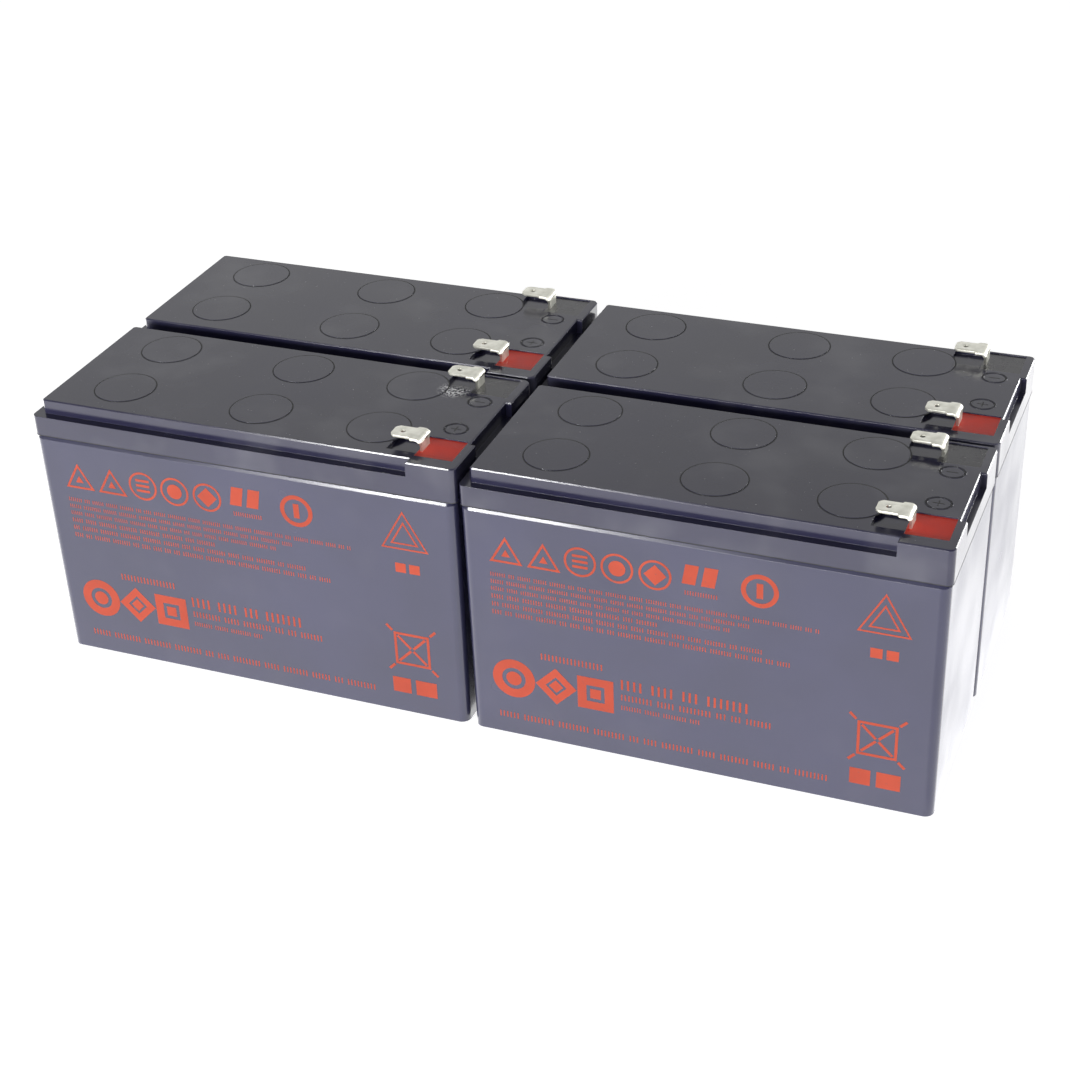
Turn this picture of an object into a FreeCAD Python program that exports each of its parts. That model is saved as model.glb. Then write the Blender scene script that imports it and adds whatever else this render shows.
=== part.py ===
"""UPS battery cartridge: four like 12 V sealed lead-acid batteries, two wide and two deep.

Every battery is drawn in its own corner frame: x runs along its length from the lid's left end, y runs back from
the jar's front face and z runs up from its base. A Placement then stands it in the set. The set's origin is the
middle of its base, +X points to the terminal ends and +Y to the back. All sizes are in millimetres.
"""
import FreeCAD, Part
import math
import os

import Sketcher

SIZES = (
    # the set
    ("gap_along", 0.8, "lid to lid, end to end"),
    ("gap_across", 0.6, "jar to jar, side by side"),
    # jar
    ("jar_length", 150.2, "jar outside, at the rim"),
    ("jar_width", 64.4, "jar outside, at the rim"),
    ("jar_height", 82.1, "base to rim"),
    ("jar_draft", 0.4, "how far each side leans in at the base"),
    ("jar_corner", 3.0, "radius of the jar's upright corners"),
    ("rim_bevel", 0.9, "bevel round the rim"),
    ("wall", 2.4, "jar's outer wall"),
    ("floor", 2.6, "jar's floor"),
    ("partition", 1.5, "wall between two cells"),
    # lid
    ("overhang", 0.4, "lid past the jar at each end"),
    ("setback", 0.6, "lid behind the jar's rim on the long sides"),
    ("skirt", 7.0, "rim to ledge"),
    ("step", 4.9, "ledge to top"),
    ("ledge_left", 2.8, "ledge width at the left end"),
    ("ledge_right", 1.9, "ledge width at the terminal end"),
    ("ledge_front", 3.0, "ledge width along the front"),
    ("ledge_back", 1.8, "ledge width along the back"),
    ("block_length", 16.4, "terminal block along the battery"),
    ("block_width", 17.0, "terminal block across the battery"),
    ("lid_corner", 2.0, "radius of the lid's outer upright corners"),
    ("top_corner", 0.8, "bevel on the top's left upright corners"),
    ("edge_bevel", 0.35, "bevel on the lid's upper edges"),
    # vents
    ("vent_first", 25.2, "left end to the first pair of vents"),
    ("vent_last", 17.9, "last pair of vents to the terminal wells"),
    ("vent_rows", 30.0, "front vents to back vents"),
    ("vents_behind", 2.1, "how far the vents sit behind the middle"),
    ("cover_radius", 10.4, "round vent cover"),
    ("cover_thick", 0.25, "round vent cover"),
    ("cap_radius", 4.4, "rubber valve cap"),
    ("cap_tall", 4.8, "rubber valve cap"),
    ("cap_gap", 0.2, "valve cap to its chamber, each side"),
    ("vent_hole", 2.6, "side of the gas way under a cap"),
    # terminals
    ("well_from_end", 2.8, "lid's terminal end to a well"),
    ("well_from_front", 5.1, "lid's front to the positive well"),
    ("well_from_back", 0.9, "lid's back to the negative well"),
    ("well_length", 13.0, "well along the battery"),
    ("well_width", 13.0, "well across the battery"),
    ("well_deep", 8.0, "top to a well's floor"),
    ("resin_below", 0.4, "resin below the top"),
    ("leg_from_well", 1.5, "well's left side to the leg's outer face"),
    ("tab_rise", 4.2, "top of the lid to top of the tab"),
    ("tab_thick", 0.8, "tab"),
    ("blade_width", 6.35, "blade, for a push-on receptacle"),
    ("blade_length", 6.9, "blade, tip to shoulder"),
    ("shoulder_past", 0.8, "shoulder past the blade, each side"),
    ("shoulder_length", 3.9, "shoulder, blade to the leg's outer face"),
    ("leg_width", 5.6, "upright leg"),
    ("bend_radius", 1.8, "outside of the bend"),
    ("tip_bevel", 1.3, "corners of the blade's tip"),
    ("hole_from_tip", 3.4, "tip to the middle of the locking hole"),
    ("hole_radius", 0.9, "locking hole"),
    ("relief_deep", 1.2, "pocket in the lid under the blade"),
    ("relief_past", 0.6, "pocket past the blade's tip"),
    ("relief_width", 9.6, "pocket across the battery"),
    # cells
    ("plate_end_gap", 0.6, "cell's end walls to the plates"),
    ("stack_gap", 0.3, "cell's side walls to the stack"),
    ("positive_thick", 3.6, "positive plate"),
    ("negative_thick", 2.8, "negative plate"),
    ("strap_clear", 0.6, "strap to the other pole's plates"),
    ("strap_wide", 3.4, "lead strap along the battery"),
    ("strap_thick", 3.0, "lead strap"),
    ("neck_wide", 7.0, "strap where it goes through a partition"),
    ("head_gap", 3.5, "lid to the lead below it"),
    ("post_length", 3.0, "lead post along the battery"),
    ("post_width", 5.0, "lead post across the battery"),
    ("post_gap", 0.2, "lid to a post, each side"),
)

CELL_COLUMNS = 3
CELL_ROWS = 2
POSITIVES_PER_CELL = 2
BATTERIES = (("front_left", 0, 0), ("front_right", 1, 0), ("back_left", 0, 1), ("back_right", 1, 1))
FRONT = 0
BACK = 1

doc = FreeCAD.newDocument("ups_battery_cartridge")
sheet = doc.addObject("Spreadsheet::Sheet", "sizes")
for row, (alias, number, meaning) in enumerate(SIZES, start=1):
    sheet.set(f"A{row}", meaning)
    sheet.set(f"B{row}", str(number))
    sheet.setAlias(f"B{row}", alias)
doc.recompute()


class Size:
    """A length in two forms: the expression that binds it to the sheet, and what that comes to."""

    def __init__(self, words, number):
        self.words = words
        self.number = number

    def __add__(self, other):
        other = length(other)
        return Size(f"({self.words} + {other.words})", self.number + other.number)

    def __sub__(self, other):
        other = length(other)
        return Size(f"({self.words} - {other.words})", self.number - other.number)

    def __mul__(self, factor):
        return Size(f"({self.words} * {factor})", self.number * factor)

    def __truediv__(self, factor):
        return Size(f"({self.words} / {factor})", self.number / factor)


def length(thing):
    """A Size as it is, or a plain number as a Size."""
    if isinstance(thing, Size):
        return thing
    return Size(str(thing), float(thing))


def size(alias):
    return Size(f"sizes.{alias}", float(sheet.get(alias)))


# Heights that several pieces share.
RIM = size("jar_height")
LEDGE = RIM + size("skirt")
TOP = LEDGE + size("step")
CAP_FOOT = TOP - size("cap_tall")
WELL_FLOOR = TOP - size("well_deep")
RESIN_TOP = TOP - size("resin_below")
TAB_TOP = TOP + size("tab_rise")
TAB_UNDER = TAB_TOP - size("tab_thick")
ARM_TOP = RIM - size("head_gap")
STRAP_TOP = ARM_TOP - size("strap_thick")
PLATE_TOP = STRAP_TOP - size("strap_thick")

# The lid's plan.
LID_LENGTH = size("jar_length") + size("overhang") * 2
LID_FRONT = size("setback")
LID_BACK = size("jar_width") - size("setback")

# One cell's plan. Glass mats fill what the plates leave of its width.
CELL_LENGTH = (size("jar_length") - size("wall") * 2 - size("partition") * (CELL_COLUMNS - 1)) / CELL_COLUMNS
CELL_WIDTH = (size("jar_width") - size("wall") * 2 - size("partition") * (CELL_ROWS - 1)) / CELL_ROWS
PLATES_THICK = size("positive_thick") * POSITIVES_PER_CELL + size("negative_thick") * (POSITIVES_PER_CELL + 1)
MAT_THICK = (CELL_WIDTH - size("stack_gap") * 2 - PLATES_THICK) / (2 * POSITIVES_PER_CELL)

# The set's plan: from one battery's corner to the next one's, and the first corner.
PITCH_X = LID_LENGTH + size("gap_along")
PITCH_Y = size("jar_width") + size("gap_across")
FIRST_X = (LID_LENGTH + PITCH_X) / -2
FIRST_Y = (size("jar_width") + PITCH_Y) / -2


def cell_left(column):
    return size("overhang") + size("wall") + (CELL_LENGTH + size("partition")) * column


def cell_front(row):
    return size("wall") + (CELL_WIDTH + size("partition")) * row


def plane(body, role):
    for feature in body.Origin.OriginFeatures:
        if feature.Role == role:
            return feature
    raise RuntimeError(f"{body.Name} has no {role}")


def new_body(label, several=False):
    body = doc.addObject("PartDesign::Body", label)
    body.Label = label
    body.AllowCompound = several
    return body


def new_sketch(body, height=None, role="XY_Plane"):
    """A sketch on one of the body's own planes, lifted along that plane's normal."""
    sketch = body.newObject("Sketcher::SketchObject", "sketch")
    sketch.AttachmentSupport = [(plane(body, role), "")]
    sketch.MapMode = "FlatFace"
    if height is not None:
        sketch.setExpression("AttachmentOffset.Base.z", height.words)
    return sketch


def pins(shape, end, x, y):
    """The two dimensions that place one point of a line or circle, each with the words that bind it."""
    for kind, axis, where in (("DistanceX", -2, x), ("DistanceY", -1, y)):
        if where.number == 0.0:
            yield Sketcher.Constraint("PointOnObject", shape, end, axis), None
        elif where.number > 0.0:
            yield Sketcher.Constraint(kind, -1, 1, shape, end, where.number), where.words
        else:
            yield Sketcher.Constraint(kind, shape, end, -1, 1, -where.number), (where * -1).words


def constrain(sketch, bound):
    """Add constraints together, then bind each to its words."""
    first = sketch.ConstraintCount
    sketch.addConstraint([constraint for constraint, words in bound])
    for index, (constraint, words) in enumerate(bound, start=first):
        if words:
            sketch.setExpression(f"Constraints[{index}]", words)


def draw_outline(sketch, corners):
    """A closed outline of straight lines through the corners."""
    corners = [(length(x), length(y)) for x, y in corners]
    points = [FreeCAD.Vector(x.number, y.number, 0) for x, y in corners]
    sides = [Part.LineSegment(start, finish) for start, finish in zip(points, points[1:] + points[:1])]
    lines = sketch.addGeometry(sides, False)
    bound = []
    for line, after, (x, y) in zip(lines, lines[1:] + lines[:1], corners):
        bound.append((Sketcher.Constraint("Coincident", line, 2, after, 1), None))
        bound.extend(pins(line, 1, x, y))
    constrain(sketch, bound)


def draw_box(sketch, left, right, front, back):
    draw_outline(sketch, ((left, front), (right, front), (right, back), (left, back)))


def draw_circle(sketch, x, y, radius):
    centre = FreeCAD.Vector(x.number, y.number, 0)
    circle = sketch.addGeometry(Part.Circle(centre, FreeCAD.Vector(0, 0, 1), radius.number), False)
    constrain(sketch, [*pins(circle, 3, x, y), (Sketcher.Constraint("Radius", circle, radius.number), radius.words)])


def draw_octagon(sketch, x, y, radius):
    """Eight sides, with the radius to the corners."""
    corners = []
    for step in range(8):
        turn = math.radians(22.5 + 45 * step)
        corners.append((x + radius * round(math.cos(turn), 6), y + radius * round(math.sin(turn), 6)))
    draw_outline(sketch, corners)


def pad(body, sketch, tall, midplane=False):
    feature = body.newObject("PartDesign::Pad", "pad")
    feature.Profile = sketch
    feature.setExpression("Length", tall.words)
    feature.Midplane = midplane
    return feature


def pocket(body, sketch, deep, upward=False):
    feature = body.newObject("PartDesign::Pocket", "pocket")
    feature.Profile = sketch
    feature.setExpression("Length", deep.words)
    feature.Reversed = upward
    return feature


def dress(body, kind, base, wanted, amount):
    """A Fillet or Chamfer on the base feature's edges whose two ends pass the test."""
    doc.recompute()
    names = []
    for number, edge in enumerate(base.Shape.Edges, start=1):
        ends = [vertex.Point for vertex in edge.Vertexes]
        if len(ends) == 2 and wanted(*ends):
            names.append(f"Edge{number}")
    feature = body.newObject(f"PartDesign::{kind}", kind.lower())
    feature.Base = (base, names)
    feature.setExpression({"Fillet": "Radius", "Chamfer": "Size"}[kind], amount.words)
    return feature


def same(one, other):
    return abs(one - other) < 0.01


def upright(one, other):
    """True of the steep edges, which on a drafted jar lean a little."""
    return abs(one.z - other.z) > 2 * (abs(one.x - other.x) + abs(one.y - other.y))


def level_at(height):
    """A test for edges that lie at one height."""
    def wanted(one, other):
        return same(one.z, height.number) and same(other.z, height.number)
    return wanted


def vent_places():
    """The middles of a battery's six vents, a pair to each column of cells."""
    well_left = LID_LENGTH - size("well_from_end") - size("well_length")
    for x in (size("vent_first"), LID_LENGTH / 2, well_left - size("vent_last")):
        for way in (-1, 1):
            yield x, size("jar_width") / 2 + size("vents_behind") + size("vent_rows") * (way * 0.5)


def well_box(row):
    """Left, right, front and back of the terminal well over the front or back row of cells."""
    right = LID_LENGTH - size("well_from_end")
    left = right - size("well_length")
    if row == FRONT:
        front = LID_FRONT + size("well_from_front")
        return left, right, front, front + size("well_width")
    back = LID_BACK - size("well_from_back")
    return left, right, back - size("well_width"), back


def leg_box(row):
    """The plan of a tab's upright leg, in its well."""
    left, right, front, back = well_box(row)
    outer = left + size("leg_from_well")
    middle = (front + back) / 2
    half = size("leg_width") / 2
    return outer - size("tab_thick"), outer, middle - half, middle + half


def post_box(row, gap=0):
    """The plan of a lead post, which ends under the leg."""
    left, right, front, back = leg_box(row)
    along = (left + right) / 2
    across = (front + back) / 2
    half_length = size("post_length") / 2 + gap
    half_width = size("post_width") / 2 + gap
    return along - half_length, along + half_length, across - half_width, across + half_width


def stack_layers(row):
    """Kind, front and back of each layer of one cell's stack, from the front: negative plates are outermost."""
    kinds = ["negative"] + ["mat", "positive", "mat", "negative"] * POSITIVES_PER_CELL
    thick = {"negative": size("negative_thick"), "positive": size("positive_thick"), "mat": MAT_THICK}
    front = cell_front(row) + size("stack_gap")
    for kind in kinds:
        yield kind, front, front + thick[kind]
        front = front + thick[kind]


def strap_at_right(row, kind):
    """In the front row the positive straps are at the right of each cell, and in the back row the negative ones."""
    return (row == FRONT) == (kind == "positive")


def strap_box(column, row, kind):
    """The plan of the strap that joins one cell's plates of one kind."""
    inset = size("plate_end_gap")
    if strap_at_right(row, kind):
        right = cell_left(column) + CELL_LENGTH - inset
        left = right - size("strap_wide")
    else:
        left = cell_left(column) + inset
        right = left + size("strap_wide")
    layers = [layer for layer in stack_layers(row) if layer[0] == kind]
    return left, right, layers[0][1], layers[-1][2]


def neck_sides(row):
    """Front and back of the neck through the partitions of one row of cells."""
    middle = cell_front(row) + CELL_WIDTH / 2
    half = size("neck_wide") / 2
    return middle - half, middle + half


def make_container(label):
    body = new_body(label)
    left = size("overhang")
    right = left + size("jar_length")
    lean = size("jar_draft")

    # The wedge stands on the XZ plane: its own Y is up, and its own Z runs to the front.
    block = body.newObject("PartDesign::AdditiveWedge", "wedge")
    block.AttachmentSupport = [(plane(body, "XZ_Plane"), "")]
    block.MapMode = "FlatFace"
    for name, where in (
        ("Xmin", left + lean), ("Xmax", right - lean), ("Zmin", lean - size("jar_width")), ("Zmax", lean * -1),
        ("X2min", left), ("X2max", right), ("Z2min", size("jar_width") * -1), ("Z2max", length(0)),
        ("Ymin", length(0)), ("Ymax", RIM),
    ):
        block.setExpression(name, where.words)
    outside = dress(body, "Fillet", block, upright, size("jar_corner"))
    dress(body, "Chamfer", outside, level_at(RIM), size("rim_bevel"))

    cells = new_sketch(body, RIM)
    for column in range(CELL_COLUMNS):
        for row in range(CELL_ROWS):
            x = cell_left(column)
            y = cell_front(row)
            draw_box(cells, x, x + CELL_LENGTH, y, y + CELL_WIDTH)
    pocket(body, cells, RIM - size("floor"))

    windows = new_sketch(body, STRAP_TOP)
    for row in range(CELL_ROWS):
        for column in range(1, CELL_COLUMNS):
            x = cell_left(column)
            draw_box(windows, x - size("partition"), x, *neck_sides(row))
    left, right, front, back = strap_box(0, FRONT, "negative")
    draw_box(windows, left, right, cell_front(BACK) - size("partition"), cell_front(BACK))
    pocket(body, windows, size("strap_thick"))
    return body


def make_lid(label):
    body = new_body(label)
    outside = new_sketch(body, RIM)
    draw_box(outside, length(0), LID_LENGTH, LID_FRONT, LID_BACK)
    block = pad(body, outside, TOP - RIM)
    dress(body, "Fillet", block, upright, size("lid_corner"))

    # What is cut down to the ledge lies between a box past the lid and this outline, which leaves the lid at the
    # two terminal blocks.
    left = size("ledge_left")
    right = LID_LENGTH - size("ledge_right")
    front = LID_FRONT + size("ledge_front")
    back = LID_BACK - size("ledge_back")
    block_left = LID_LENGTH - size("block_length")
    block_back = LID_FRONT + size("block_width")
    block_front = LID_BACK - size("block_width")
    past = size("lid_corner")
    ledge = new_sketch(body, TOP)
    draw_box(ledge, past * -2, LID_LENGTH + past * 2, LID_FRONT - past * 2, LID_BACK + past * 2)
    draw_outline(ledge, (
        (left, front),
        (block_left, front),
        (block_left, LID_FRONT - past),
        (LID_LENGTH + past, LID_FRONT - past),
        (LID_LENGTH + past, block_back),
        (right, block_back),
        (right, block_front),
        (LID_LENGTH + past, block_front),
        (LID_LENGTH + past, LID_BACK + past),
        (block_left, LID_BACK + past),
        (block_left, back),
        (left, back),
    ))
    raised = pocket(body, ledge, size("step"))

    def left_corner(one, other):
        return upright(one, other) and same(one.x, left.number)

    raised = dress(body, "Chamfer", raised, left_corner, size("top_corner"))
    dress(body, "Chamfer", raised, level_at(TOP), size("edge_bevel"))

    chambers = new_sketch(body, TOP)
    holes = new_sketch(body, CAP_FOOT)
    for x, y in vent_places():
        half = size("cap_radius") + size("cap_gap")
        draw_box(chambers, x - half, x + half, y - half, y + half)
        half = size("vent_hole") / 2
        draw_box(holes, x - half, x + half, y - half, y + half)
    pocket(body, chambers, size("cap_tall"))
    pocket(body, holes, CAP_FOOT - RIM)

    reliefs = new_sketch(body, TOP)
    wells = new_sketch(body, TOP)
    posts = new_sketch(body, WELL_FLOOR)
    for row in (FRONT, BACK):
        left, right, front, back = well_box(row)
        draw_box(wells, left, right, front, back)
        draw_box(posts, *post_box(row, size("post_gap")))
        middle = (front + back) / 2
        half = size("relief_width") / 2
        tip = left + size("leg_from_well") - size("shoulder_length") - size("blade_length")
        draw_box(reliefs, tip - size("relief_past"), left, middle - half, middle + half)
    pocket(body, reliefs, size("relief_deep"))
    pocket(body, wells, size("well_deep"))
    pocket(body, posts, WELL_FLOOR - RIM)
    return body


def make_vent_pieces(label, foot, tall, draw, radius):
    """One flat piece at every vent of the set."""
    body = new_body(label, several=True)
    for name, column, row in BATTERIES:
        plan = new_sketch(body, foot)
        for x, y in vent_places():
            draw(plan, FIRST_X + PITCH_X * column + x, FIRST_Y + PITCH_Y * row + y, radius)
        pad(body, plan, tall)
    return body


def make_seal(label, row):
    """Resin that fills a well round the tab's leg."""
    body = new_body(label)
    fill = new_sketch(body, WELL_FLOOR)
    draw_box(fill, *well_box(row))
    pad(body, fill, RESIN_TOP - WELL_FLOOR)
    leg = new_sketch(body, RESIN_TOP)
    draw_box(leg, *leg_box(row))
    pocket(body, leg, RESIN_TOP - WELL_FLOOR)
    return body


def make_terminal(label, row):
    """A tab bent through a right angle: an upright leg, a shoulder and a blade that points along the battery."""
    body = new_body(label)
    inner, outer, leg_front, leg_back = leg_box(row)
    middle = (leg_front + leg_back) / 2
    shoulder = outer - size("shoulder_length")
    tip = shoulder - size("blade_length")
    blade_half = size("blade_width") / 2
    shoulder_half = blade_half + size("shoulder_past")
    spare = size("tab_thick")

    side_view = new_sketch(body, middle * -1, role="XZ_Plane")
    draw_outline(side_view, (
        (tip, TAB_TOP),
        (outer, TAB_TOP),
        (outer, WELL_FLOOR),
        (inner, WELL_FLOOR),
        (inner, TAB_UNDER),
        (tip, TAB_UNDER),
    ))
    strip = pad(body, side_view, shoulder_half * 2, midplane=True)

    def bend_at(across, height):
        def wanted(one, other):
            return level_at(height)(one, other) and same(one.x, across.number) and same(other.x, across.number)
        return wanted

    strip = dress(body, "Fillet", strip, bend_at(outer, TAB_TOP), size("bend_radius"))
    dress(body, "Fillet", strip, bend_at(inner, TAB_UNDER), size("bend_radius") - size("tab_thick"))

    trim = new_sketch(body, TAB_TOP)
    for way in (-1, 1):
        edge = middle + blade_half * way
        past_edge = middle + (shoulder_half + spare) * way
        draw_outline(trim, (
            (tip - spare, past_edge),
            (tip - spare, edge - (size("tip_bevel") + spare) * way),
            (tip + size("tip_bevel"), edge),
            (shoulder, edge),
            (shoulder, past_edge),
        ))
    draw_octagon(trim, tip + size("hole_from_tip"), middle, size("hole_radius"))
    pocket(body, trim, size("tab_thick") * 2)

    slim = new_sketch(body, WELL_FLOOR)
    for way in (-1, 1):
        edge = middle + size("leg_width") * (way * 0.5)
        past_edge = middle + (shoulder_half + spare) * way
        draw_box(slim, inner - spare, outer + spare, edge, past_edge)
    pocket(body, slim, TAB_TOP - size("bend_radius") - WELL_FLOOR, upward=True)
    return body


def pad_layers(body, wanted, end_gaps):
    """Stand the stack's layers of one kind on the jar's floor, in every cell."""
    for row in range(CELL_ROWS):
        plan = new_sketch(body, size("floor"))
        left_gap, right_gap = end_gaps(row)
        for column in range(CELL_COLUMNS):
            left = cell_left(column) + left_gap
            right = cell_left(column) + CELL_LENGTH - right_gap
            for kind, front, back in stack_layers(row):
                if kind == wanted:
                    draw_box(plan, left, right, front, back)
        pad(body, plan, PLATE_TOP - size("floor"))


def make_plates(label, kind):
    """Every cell's plates of one kind. They stop short of the other kind's strap."""
    def end_gaps(row):
        near = size("plate_end_gap")
        far = near + size("strap_wide") + size("strap_clear")
        return (far, near) if strap_at_right(row, kind) else (near, far)

    body = new_body(label, several=True)
    pad_layers(body, kind, end_gaps)
    return body


def make_mats(label):
    """Glass mats between the plates."""
    body = new_body(label, several=True)
    pad_layers(body, "mat", lambda row: (size("plate_end_gap"), size("plate_end_gap")))
    return body


def make_links(label):
    """Straps of neighbouring cells, cast together through the partitions: all six cells are in series."""
    body = new_body(label, several=True)
    plan = new_sketch(body, PLATE_TOP)
    for row in range(CELL_ROWS):
        left_kind = "positive" if strap_at_right(row, "positive") else "negative"
        right_kind = "negative" if left_kind == "positive" else "positive"
        neck_front, neck_back = neck_sides(row)
        for column in range(1, CELL_COLUMNS):
            left, neck_left, left_front, left_back = strap_box(column - 1, row, left_kind)
            neck_right, right, right_front, right_back = strap_box(column, row, right_kind)
            draw_outline(plan, (
                (left, left_front),
                (neck_left, left_front),
                (neck_left, neck_front),
                (neck_right, neck_front),
                (neck_right, right_front),
                (right, right_front),
                (right, right_back),
                (neck_right, right_back),
                (neck_right, neck_back),
                (neck_left, neck_back),
                (neck_left, left_back),
                (left, left_back),
            ))
    left, right, front, unused = strap_box(0, FRONT, "negative")
    left, right, unused, back = strap_box(0, BACK, "positive")
    draw_box(plan, left, right, front, back)
    pad(body, plan, size("strap_thick"))
    return body


def make_post(label, row, kind):
    """The end cell's strap, with an arm over the plates and a post that rises through the lid."""
    body = new_body(label)
    strap = new_sketch(body, PLATE_TOP)
    left, right, front, back = strap_box(CELL_COLUMNS - 1, row, kind)
    draw_box(strap, left, right, front, back)
    pad(body, strap, size("strap_thick"))
    arm = new_sketch(body, STRAP_TOP)
    post_left, post_right, post_front, post_back = post_box(row)
    draw_box(arm, post_left, right, post_front, post_back)
    pad(body, arm, size("strap_thick"))
    post = new_sketch(body, ARM_TOP)
    draw_box(post, post_left, post_right, post_front, post_back)
    pad(body, post, WELL_FLOOR - ARM_TOP)
    return body


def make_battery(name):
    """All the pieces of one battery, in its corner frame."""
    return [
        make_container(f"{name}_container"),
        make_lid(f"{name}_lid"),
        make_seal(f"{name}_positive_seal", FRONT),
        make_seal(f"{name}_negative_seal", BACK),
        make_terminal(f"{name}_positive_terminal", FRONT),
        make_terminal(f"{name}_negative_terminal", BACK),
        make_post(f"{name}_positive_post", FRONT, "positive"),
        make_post(f"{name}_negative_post", BACK, "negative"),
        make_plates(f"{name}_positive_plates", "positive"),
        make_plates(f"{name}_negative_plates", "negative"),
        make_mats(f"{name}_separators"),
        make_links(f"{name}_cell_links"),
    ]


def clone(piece, label):
    """A second body of the same form, which follows the first."""
    body = new_body(label, several=piece.AllowCompound)
    copy = doc.addObject("PartDesign::FeatureBase", "clone")
    copy.BaseFeature = piece
    body.Group = [copy]
    body.Tip = copy
    return body


def stand(piece, column, row):
    """Put a piece of a battery where that battery stands in the set."""
    piece.setExpression("Placement.Base.x", (FIRST_X + PITCH_X * column).words)
    piece.setExpression("Placement.Base.y", (FIRST_Y + PITCH_Y * row).words)


(first_name, *first_place), *others = BATTERIES
originals = make_battery(first_name)
for piece in originals:
    stand(piece, *first_place)
pieces = list(originals)
for name, column, row in others:
    for piece in originals:
        copy = clone(piece, piece.Label.replace(first_name, name))
        stand(copy, column, row)
        pieces.append(copy)
pieces.append(make_vent_pieces("vent_covers", TOP, size("cover_thick"), draw_circle, size("cover_radius")))
pieces.append(make_vent_pieces("valve_caps", CAP_FOOT, size("cap_tall"), draw_octagon, size("cap_radius")))
doc.recompute()

for thing in doc.Objects:
    if "Invalid" in thing.State or "Error" in thing.State:
        raise RuntimeError(f"{thing.Label} did not build: {thing.State}")
for piece in pieces:
    if piece.Shape.isNull() or not piece.Shape.isValid() or not piece.Shape.Solids:
        raise RuntimeError(f"{piece.Label} is not a sound solid")

os.makedirs("parts", exist_ok=True)
for piece in pieces:
    piece.Shape.exportStep(f"parts/{piece.Label}.step")
    print(f"{piece.Label}: {len(piece.Shape.Solids)} solids, {piece.Shape.Volume:.0f} mm3")
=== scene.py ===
"""Looks for the UPS battery cartridge: four like sealed lead-acid batteries, two wide and two deep.

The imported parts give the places. Lengths are in millimetres, and MM turns them into the scene's metres.
Only the stage is in metres, and says so.
"""

import math
import random

import bmesh
import bpy
from mathutils import Matrix, Vector


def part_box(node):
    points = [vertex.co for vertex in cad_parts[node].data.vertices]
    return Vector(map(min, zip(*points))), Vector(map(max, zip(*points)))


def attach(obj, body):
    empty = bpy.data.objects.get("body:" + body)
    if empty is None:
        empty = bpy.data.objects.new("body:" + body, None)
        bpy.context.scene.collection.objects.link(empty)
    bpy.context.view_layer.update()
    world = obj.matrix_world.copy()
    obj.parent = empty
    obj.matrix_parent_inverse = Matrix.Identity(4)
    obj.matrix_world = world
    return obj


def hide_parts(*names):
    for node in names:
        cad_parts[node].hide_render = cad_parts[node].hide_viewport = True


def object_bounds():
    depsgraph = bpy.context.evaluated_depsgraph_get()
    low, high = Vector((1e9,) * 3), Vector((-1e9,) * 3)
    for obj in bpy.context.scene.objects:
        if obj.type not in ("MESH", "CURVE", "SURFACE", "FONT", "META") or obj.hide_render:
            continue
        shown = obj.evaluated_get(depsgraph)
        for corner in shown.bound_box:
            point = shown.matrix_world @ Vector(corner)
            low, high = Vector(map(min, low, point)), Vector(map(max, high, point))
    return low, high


MM = 0.001
BATTERIES = ("front_left", "front_right", "back_left", "back_right")

# Camera.
CAMERA_AT = (232.4, -557.8, 396.0)
CAMERA_AIM = (5.1, -16.1, 45.0)
CAMERA_ROLL = -2.5
CAMERA_LENS = 69.5
CAMERA_SENSOR = 36.0

# World: the fill for diffuse rays, and how it dims overhead, by the upward part of a ray's direction.
WORLD_FILL = 0.38
WORLD_OVERHEAD = 0.25
OVERHEAD_FROM = 0.55
OVERHEAD_TO = 0.80

# Floor, in metres: white to the camera, and brighter than white in mirror images. Past the set's right end and
# behind its middle it is less bright.
FLOOR_REACH = 6.0
FLOOR_BELOW = 0.0002
FLOOR_GLOW = 0.87
FLOOR_SHADE = 0.48
TABLE_GLOW = 2.65
TABLE_GLOW_RIGHT = 1.88
TABLE_EDGE = 0.005
TABLE_FADE_BEHIND = 0.86
TABLE_FADE_FROM = 0.04
TABLE_FADE_PAST = 0.06

# Lamps, in metres and watts: place, width and height, power, and whether the lamp shows in gloss alone.
LAMP_AIM = (0.0, 0.0, 0.05)
LAMPS = {
    "front_panel": ((-0.4, -1.8, 0.34), (1.2, 0.5), 35.0, False),
    "edge_panel": ((-0.37, -0.56, 0.86), (0.18, 0.07), 5.5, True),
    "back_panel": ((0.735, 1.0, 0.27), (0.35, 0.10), 3.0, True),
    "right_panel": ((1.2, 0.25, 0.15), (0.9, 0.2), 8.0, False),
}

# Print on the front of each jar. Ticks and their pitch are shares of a row's height, and a caption's ticks stand
# in one group of this many.
PRINT_THICK = 0.04
JAR_DRAFT = 0.4
TICK_WIDE = 0.19
TICK_PITCH = 0.54
CAPTION = (20, 20)
DISC_SIDES = 40
RING_SIDES = 48

# The dark line of painted shadow round the lid's lower edge, and the lid's corner radius.
JOINT_UP = 0.32
JOINT_SLOPE = 0.7
JOINT_OUT = 0.04
LID_CORNER = 2.0

# Vents: from the lid's left end, from the well and between the rows, then the covers and the seam round each.
VENT_FIRST = 25.2
VENT_LAST = 17.9
VENT_ROWS = 30.0
VENTS_BEHIND = 2.1
COVER_RADIUS = 10.4
COVER_RISE = 0.12
COVER_EDGE = 0.10
SEAM_WIDE = 0.44
SEAM_RISE = 0.03

# Polarity marks, from the lid's middle.
MARK_X = 65.5
MARK_PLUS_Y = -6.7
MARK_MINUS_Y = 12.5
MARK_RADIUS = 3.4
MARK_STRETCH = 1.1
MARK_LINE = 0.34
MARK_LIP = 0.28
MARK_BAR = 1.6
MARK_RISE = 0.09
MARK_SIDES = 48
BAR_SLOPE = 0.6

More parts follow.
